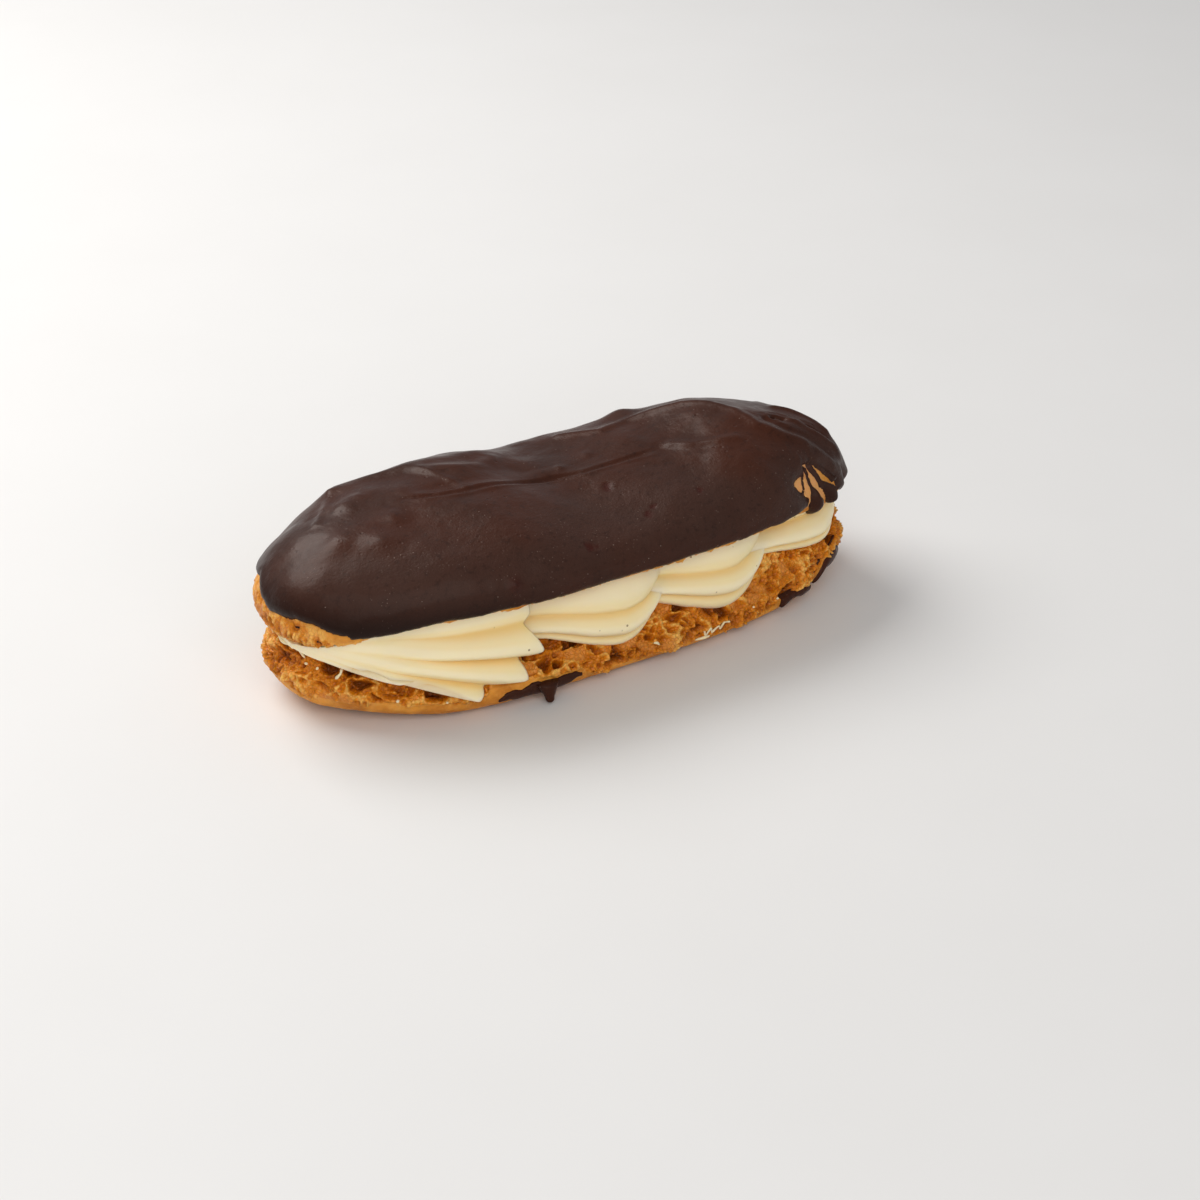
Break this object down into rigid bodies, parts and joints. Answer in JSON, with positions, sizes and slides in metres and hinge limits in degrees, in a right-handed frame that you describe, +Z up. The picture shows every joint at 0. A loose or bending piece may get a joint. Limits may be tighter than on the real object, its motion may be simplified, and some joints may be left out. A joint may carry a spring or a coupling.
{
  "type": "chocolate eclair",
  "caption": "Long choux bun split along its sides, filled with piped ridged cream and topped with a thick coat of chocolate.",
  "frame": {"origin": "under the middle of the eclair, on the surface it rests on", "axes": "+X along the bun, towards the end whose chocolate runs out in fingers; +Y across, away from the side with the chocolate drip; +Z up"},
  "size_m": [0.149, 0.0638, 0.0438],
  "materials": {
    "choux": "baked choux crust, golden brown, porous where torn",
    "chocolate": "set dark chocolate with a satin sheen",
    "cream": "soft vanilla cream with fine specks"
  },
  "bodies": {
    "root": {"choux_base": "choux", "choux_lid": "choux", "chocolate_top": "chocolate", "piped_cream": "cream", "chocolate_drip": "chocolate", "chocolate_smear": "chocolate"}
  },
  "joints": []
}
